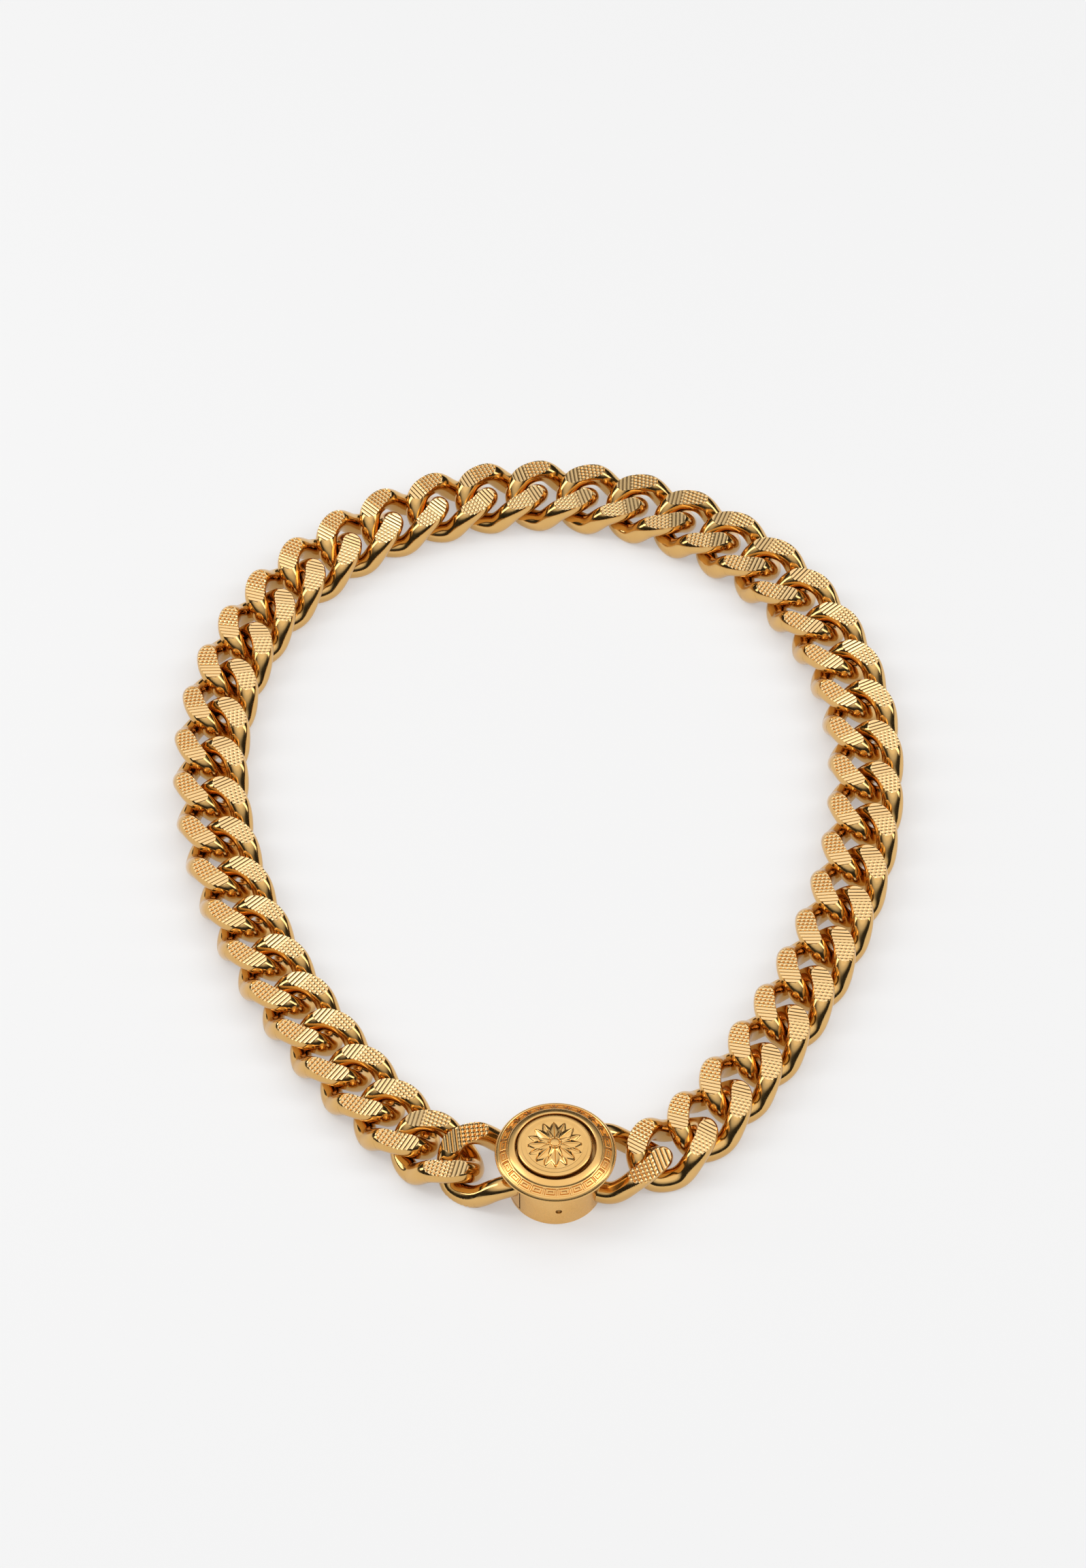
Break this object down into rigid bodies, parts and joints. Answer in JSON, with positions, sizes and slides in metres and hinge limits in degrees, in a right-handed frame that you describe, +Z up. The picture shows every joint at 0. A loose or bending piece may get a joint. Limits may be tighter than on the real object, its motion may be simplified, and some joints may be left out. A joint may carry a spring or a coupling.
{
  "type": "chain necklace",
  "caption": "Flat-ground curb chain necklace with textured facets, closed at the front by a round push-button box clasp with a patterned band and a rosette medallion.",
  "frame": {"origin": "on the resting plane, under the middle of the whole necklace", "axes": "+Z up out of the facets, +Y from the clasp at the front to the back of the neck, +X to the right seen from the clasp side"},
  "size_m": [0.1418, 0.1854, 0.0138],
  "materials": {
    "chain_gold": "polished gold plate with textured satin facets",
    "clasp_gold": "satin gold plate",
    "medallion_gold": "satin gold plate with polished relief",
    "inner_brass": "plain brass",
    "spring_steel": "bright spring steel"
  },
  "bodies": {
    "clasp": {"clasp_drum": "clasp_gold", "base_plate": "inner_brass", "deck_plate": "inner_brass", "bezel_ring": "clasp_gold", "tongue_guide": "inner_brass", "side_pin": "inner_brass", "button_return_spring": "spring_steel", "right_end_link": "chain_gold"},
    "push_button": {"button_disc": "medallion_gold", "medallion_rosette": "medallion_gold", "button_stem": "inner_brass", "stem_clip": "inner_brass"},
    "link_42": {"link_42": "chain_gold"},
    "link_41": {"link_41": "chain_gold"},
    "link_40": {"link_40": "chain_gold"},
    "link_39": {"link_39": "chain_gold"},
    "link_38": {"link_38": "chain_gold"},
    "link_37": {"link_37": "chain_gold"},
    "link_36": {"link_36": "chain_gold"},
    "link_35": {"link_35": "chain_gold"},
    "link_34": {"link_34": "chain_gold"},
    "link_33": {"link_33": "chain_gold"},
    "link_32": {"link_32": "chain_gold"},
    "link_31": {"link_31": "chain_gold"},
    "link_30": {"link_30": "chain_gold"},
    "link_29": {"link_29": "chain_gold"},
    "link_28": {"link_28": "chain_gold"},
    "link_27": {"link_27": "chain_gold"},
    "link_26": {"link_26": "chain_gold"},
    "link_25": {"link_25": "chain_gold"},
    "link_24": {"link_24": "chain_gold"},
    "link_23": {"link_23": "chain_gold"},
    "link_22": {"link_22": "chain_gold"},
    "link_21": {"link_21": "chain_gold"},
    "link_20": {"link_20": "chain_gold"},
    "link_19": {"link_19": "chain_gold"},
    "link_18": {"link_18": "chain_gold"},
    "link_17": {"link_17": "chain_gold"},
    "link_16": {"link_16": "chain_gold"},
    "link_15": {"link_15": "chain_gold"},
    "link_14": {"link_14": "chain_gold"},
    "link_13": {"link_13": "chain_gold"},
    "link_12": {"link_12": "chain_gold"},
    "link_11": {"link_11": "chain_gold"},
    "link_10": {"link_10": "chain_gold"},
    "link_09": {"link_09": "chain_gold"},
    "link_08": {"link_08": "chain_gold"},
    "link_07": {"link_07": "chain_gold"},
    "link_06": {"link_06": "chain_gold"},
    "link_05": {"link_05": "chain_gold"},
    "link_04": {"link_04": "chain_gold"},
    "link_03": {"link_03": "chain_gold"},
    "link_02": {"link_02": "chain_gold"},
    "link_01": {"link_01": "chain_gold"},
    "clasp_tongue": {"left_end_link": "chain_gold", "clasp_insert": "clasp_gold", "tongue_blade": "inner_brass", "tongue_leaf_spring": "spring_steel"}
  },
  "joints": [
    {"name": "button_press", "type": "slide", "parent": "clasp", "child": "push_button", "axis": [0, 0, 1], "range_m": [-0.0007, 0], "stiffness_N_per_m": 600, "springref_m": 0.0005, "deforming": ["button_return_spring", "tongue_leaf_spring"]},
    {"name": "bend_link_42", "type": "hinge", "parent": "clasp", "child": "link_42", "pos_m": [0.01759, -0.07909, 0.00345], "axis": [0, 0, -1], "range_deg": [0, 30.19]},
    {"name": "bend_link_41", "type": "hinge", "parent": "link_42", "child": "link_41", "pos_m": [0.02586, -0.07312, 0.00345], "axis": [0, 0, -1], "range_deg": [0, 15.15]},
    {"name": "bend_link_40", "type": "hinge", "parent": "link_41", "child": "link_40", "pos_m": [0.03228, -0.06519, 0.00345], "axis": [0, 0, -1], "range_deg": [0, 3.28]},
    {"name": "bend_link_39", "type": "hinge", "parent": "link_40", "child": "link_39", "pos_m": [0.03824, -0.05691, 0.00345], "axis": [0, 0, -1], "range_deg": [0, 3.32]},
    {"name": "bend_link_38", "type": "hinge", "parent": "link_39", "child": "link_38", "pos_m": [0.04371, -0.0483, 0.00345], "axis": [0, 0, -1], "range_deg": [0, 3.41]},
    {"name": "bend_link_37", "type": "hinge", "parent": "link_38", "child": "link_37", "pos_m": [0.04865, -0.03938, 0.00345], "axis": [0, 0, -1], "range_deg": [0, 3.57]},
    {"name": "bend_link_36", "type": "hinge", "parent": "link_37", "child": "link_36", "pos_m": [0.05303, -0.03017, 0.00345], "axis": [0, 0, -1], "range_deg": [0, 3.83]},
    {"name": "bend_link_35", "type": "hinge", "parent": "link_36", "child": "link_35", "pos_m": [0.05679, -0.02069, 0.00345], "axis": [0, 0, -1], "range_deg": [0, 4.21]},
    {"name": "bend_link_34", "type": "hinge", "parent": "link_35", "child": "link_34", "pos_m": [0.05984, -0.01095, 0.00345], "axis": [0, 0, -1], "range_deg": [0, 4.72]},
    {"name": "bend_link_33", "type": "hinge", "parent": "link_34", "child": "link_33", "pos_m": [0.06208, -0.001, 0.00345], "axis": [0, 0, -1], "range_deg": [0, 5.33]},
    {"name": "bend_link_32", "type": "hinge", "parent": "link_33", "child": "link_32", "pos_m": [0.06339, 0.00911, 0.00345], "axis": [0, 0, -1], "range_deg": [0, 6.02]},
    {"name": "bend_link_31", "type": "hinge", "parent": "link_32", "child": "link_31", "pos_m": [0.06362, 0.01931, 0.00345], "axis": [0, 0, -1], "range_deg": [0, 6.74]},
    {"name": "bend_link_30", "type": "hinge", "parent": "link_31", "child": "link_30", "pos_m": [0.06266, 0.02946, 0.00345], "axis": [0, 0, -1], "range_deg": [0, 7.42]},
    {"name": "bend_link_29", "type": "hinge", "parent": "link_30", "child": "link_29", "pos_m": [0.0604, 0.03941, 0.00345], "axis": [0, 0, -1], "range_deg": [0, 8.03]},
    {"name": "bend_link_28", "type": "hinge", "parent": "link_29", "child": "link_28", "pos_m": [0.05677, 0.04894, 0.00345], "axis": [0, 0, -1], "range_deg": [0, 8.53]},
    {"name": "bend_link_27", "type": "hinge", "parent": "link_28", "child": "link_27", "pos_m": [0.05176, 0.05783, 0.00345], "axis": [0, 0, -1], "range_deg": [0, 8.91]},
    {"name": "bend_link_26", "type": "hinge", "parent": "link_27", "child": "link_26", "pos_m": [0.04544, 0.06584, 0.00345], "axis": [0, 0, -1], "range_deg": [0, 9.18]},
    {"name": "bend_link_25", "type": "hinge", "parent": "link_26", "child": "link_25", "pos_m": [0.03793, 0.07273, 0.00345], "axis": [0, 0, -1], "range_deg": [0, 9.35]},
    {"name": "bend_link_24", "type": "hinge", "parent": "link_25", "child": "link_24", "pos_m": [0.02939, 0.07831, 0.00345], "axis": [0, 0, -1], "range_deg": [0, 9.44]},
    {"name": "bend_link_23", "type": "hinge", "parent": "link_24", "child": "link_23", "pos_m": [0.02005, 0.08242, 0.00345], "axis": [0, 0, -1], "range_deg": [0, 9.49]},
    {"name": "bend_link_22", "type": "hinge", "parent": "link_23", "child": "link_22", "pos_m": [0.01017, 0.08493, 0.00345], "axis": [0, 0, -1], "range_deg": [0, 9.5]},
    {"name": "bend_back", "type": "hinge", "parent": "link_22", "child": "link_21", "pos_m": [0, 0.08577, 0.00345], "axis": [0, 0, -1], "range_deg": [0, 9.5]},
    {"name": "bend_link_20", "type": "hinge", "parent": "link_21", "child": "link_20", "pos_m": [-0.01017, 0.08493, 0.00345], "axis": [0, 0, -1], "range_deg": [0, 9.5]},
    {"name": "bend_link_19", "type": "hinge", "parent": "link_20", "child": "link_19", "pos_m": [-0.02005, 0.08242, 0.00345], "axis": [0, 0, -1], "range_deg": [0, 9.49]},
    {"name": "bend_link_18", "type": "hinge", "parent": "link_19", "child": "link_18", "pos_m": [-0.02939, 0.07831, 0.00345], "axis": [0, 0, -1], "range_deg": [0, 9.44]},
    {"name": "bend_link_17", "type": "hinge", "parent": "link_18", "child": "link_17", "pos_m": [-0.03793, 0.07273, 0.00345], "axis": [0, 0, -1], "range_deg": [0, 9.35]},
    {"name": "bend_link_16", "type": "hinge", "parent": "link_17", "child": "link_16", "pos_m": [-0.04544, 0.06584, 0.00345], "axis": [0, 0, -1], "range_deg": [0, 9.18]},
    {"name": "bend_link_15", "type": "hinge", "parent": "link_16", "child": "link_15", "pos_m": [-0.05176, 0.05783, 0.00345], "axis": [0, 0, -1], "range_deg": [0, 8.91]},
    {"name": "bend_link_14", "type": "hinge", "parent": "link_15", "child": "link_14", "pos_m": [-0.05677, 0.04894, 0.00345], "axis": [0, 0, -1], "range_deg": [0, 8.53]},
    {"name": "bend_link_13", "type": "hinge", "parent": "link_14", "child": "link_13", "pos_m": [-0.0604, 0.03941, 0.00345], "axis": [0, 0, -1], "range_deg": [0, 8.03]},
    {"name": "bend_link_12", "type": "hinge", "parent": "link_13", "child": "link_12", "pos_m": [-0.06266, 0.02946, 0.00345], "axis": [0, 0, -1], "range_deg": [0, 7.42]},
    {"name": "bend_link_11", "type": "hinge", "parent": "link_12", "child": "link_11", "pos_m": [-0.06362, 0.01931, 0.00345], "axis": [0, 0, -1], "range_deg": [0, 6.74]},
    {"name": "bend_link_10", "type": "hinge", "parent": "link_11", "child": "link_10", "pos_m": [-0.06339, 0.00911, 0.00345], "axis": [0, 0, -1], "range_deg": [0, 6.02]},
    {"name": "bend_link_09", "type": "hinge", "parent": "link_10", "child": "link_09", "pos_m": [-0.06208, -0.001, 0.00345], "axis": [0, 0, -1], "range_deg": [0, 5.33]},
    {"name": "bend_link_08", "type": "hinge", "parent": "link_09", "child": "link_08", "pos_m": [-0.05984, -0.01095, 0.00345], "axis": [0, 0, -1], "range_deg": [0, 4.72]},
    {"name": "bend_link_07", "type": "hinge", "parent": "link_08", "child": "link_07", "pos_m": [-0.05679, -0.02069, 0.00345], "axis": [0, 0, -1], "range_deg": [0, 4.21]},
    {"name": "bend_link_06", "type": "hinge", "parent": "link_07", "child": "link_06", "pos_m": [-0.05303, -0.03017, 0.00345], "axis": [0, 0, -1], "range_deg": [0, 3.83]},
    {"name": "bend_link_05", "type": "hinge", "parent": "link_06", "child": "link_05", "pos_m": [-0.04865, -0.03938, 0.00345], "axis": [0, 0, -1], "range_deg": [0, 3.57]},
    {"name": "bend_link_04", "type": "hinge", "parent": "link_05", "child": "link_04", "pos_m": [-0.04371, -0.0483, 0.00345], "axis": [0, 0, -1], "range_deg": [0, 3.41]},
    {"name": "bend_link_03", "type": "hinge", "parent": "link_04", "child": "link_03", "pos_m": [-0.03824, -0.05691, 0.00345], "axis": [0, 0, -1], "range_deg": [0, 3.32]},
    {"name": "bend_link_02", "type": "hinge", "parent": "link_03", "child": "link_02", "pos_m": [-0.03228, -0.06519, 0.00345], "axis": [0, 0, -1], "range_deg": [0, 3.28]},
    {"name": "bend_link_01", "type": "hinge", "parent": "link_02", "child": "link_01", "pos_m": [-0.02586, -0.07312, 0.00345], "axis": [0, 0, -1], "range_deg": [0, 15.15]},
    {"name": "bend_clasp_tongue", "type": "hinge", "parent": "link_01", "child": "clasp_tongue", "pos_m": [-0.01759, -0.07909, 0.00345], "axis": [0, 0, -1], "range_deg": [0, 30.19]}
  ],
  "couplings": [
    {"joint": "bend_link_42", "follows": "bend_back", "ratio": 3.1779},
    {"joint": "bend_link_41", "follows": "bend_back", "ratio": 1.5947},
    {"joint": "bend_link_40", "follows": "bend_back", "ratio": 0.34504},
    {"joint": "bend_link_39", "follows": "bend_back", "ratio": 0.34953},
    {"joint": "bend_link_38", "follows": "bend_back", "ratio": 0.35873},
    {"joint": "bend_link_37", "follows": "bend_back", "ratio": 0.37551},
    {"joint": "bend_link_36", "follows": "bend_back", "ratio": 0.40285},
    {"joint": "bend_link_35", "follows": "bend_back", "ratio": 0.44298},
    {"joint": "bend_link_34", "follows": "bend_back", "ratio": 0.49643},
    {"joint": "bend_link_33", "follows": "bend_back", "ratio": 0.56146},
    {"joint": "bend_link_32", "follows": "bend_back", "ratio": 0.63416},
    {"joint": "bend_link_31", "follows": "bend_back", "ratio": 0.70921},
    {"joint": "bend_link_30", "follows": "bend_back", "ratio": 0.78101},
    {"joint": "bend_link_29", "follows": "bend_back", "ratio": 0.84485},
    {"joint": "bend_link_28", "follows": "bend_back", "ratio": 0.89758},
    {"joint": "bend_link_27", "follows": "bend_back", "ratio": 0.93792},
    {"joint": "bend_link_26", "follows": "bend_back", "ratio": 0.96625},
    {"joint": "bend_link_25", "follows": "bend_back", "ratio": 0.98422},
    {"joint": "bend_link_24", "follows": "bend_back", "ratio": 0.99414},
    {"joint": "bend_link_23", "follows": "bend_back", "ratio": 0.99856},
    {"joint": "bend_link_22", "follows": "bend_back", "ratio": 0.99987},
    {"joint": "bend_link_20", "follows": "bend_back", "ratio": 0.99987},
    {"joint": "bend_link_19", "follows": "bend_back", "ratio": 0.99856},
    {"joint": "bend_link_18", "follows": "bend_back", "ratio": 0.99414},
    {"joint": "bend_link_17", "follows": "bend_back", "ratio": 0.98422},
    {"joint": "bend_link_16", "follows": "bend_back", "ratio": 0.96625},
    {"joint": "bend_link_15", "follows": "bend_back", "ratio": 0.93792},
    {"joint": "bend_link_14", "follows": "bend_back", "ratio": 0.89758},
    {"joint": "bend_link_13", "follows": "bend_back", "ratio": 0.84485},
    {"joint": "bend_link_12", "follows": "bend_back", "ratio": 0.78101},
    {"joint": "bend_link_11", "follows": "bend_back", "ratio": 0.70921},
    {"joint": "bend_link_10", "follows": "bend_back", "ratio": 0.63416},
    {"joint": "bend_link_09", "follows": "bend_back", "ratio": 0.56146},
    {"joint": "bend_link_08", "follows": "bend_back", "ratio": 0.49643},
    {"joint": "bend_link_07", "follows": "bend_back", "ratio": 0.44298},
    {"joint": "bend_link_06", "follows": "bend_back", "ratio": 0.40285},
    {"joint": "bend_link_05", "follows": "bend_back", "ratio": 0.37551},
    {"joint": "bend_link_04", "follows": "bend_back", "ratio": 0.35873},
    {"joint": "bend_link_03", "follows": "bend_back", "ratio": 0.34953},
    {"joint": "bend_link_02", "follows": "bend_back", "ratio": 0.34504},
    {"joint": "bend_link_01", "follows": "bend_back", "ratio": 1.5947},
    {"joint": "bend_clasp_tongue", "follows": "bend_back", "ratio": 3.1779}
  ]
}
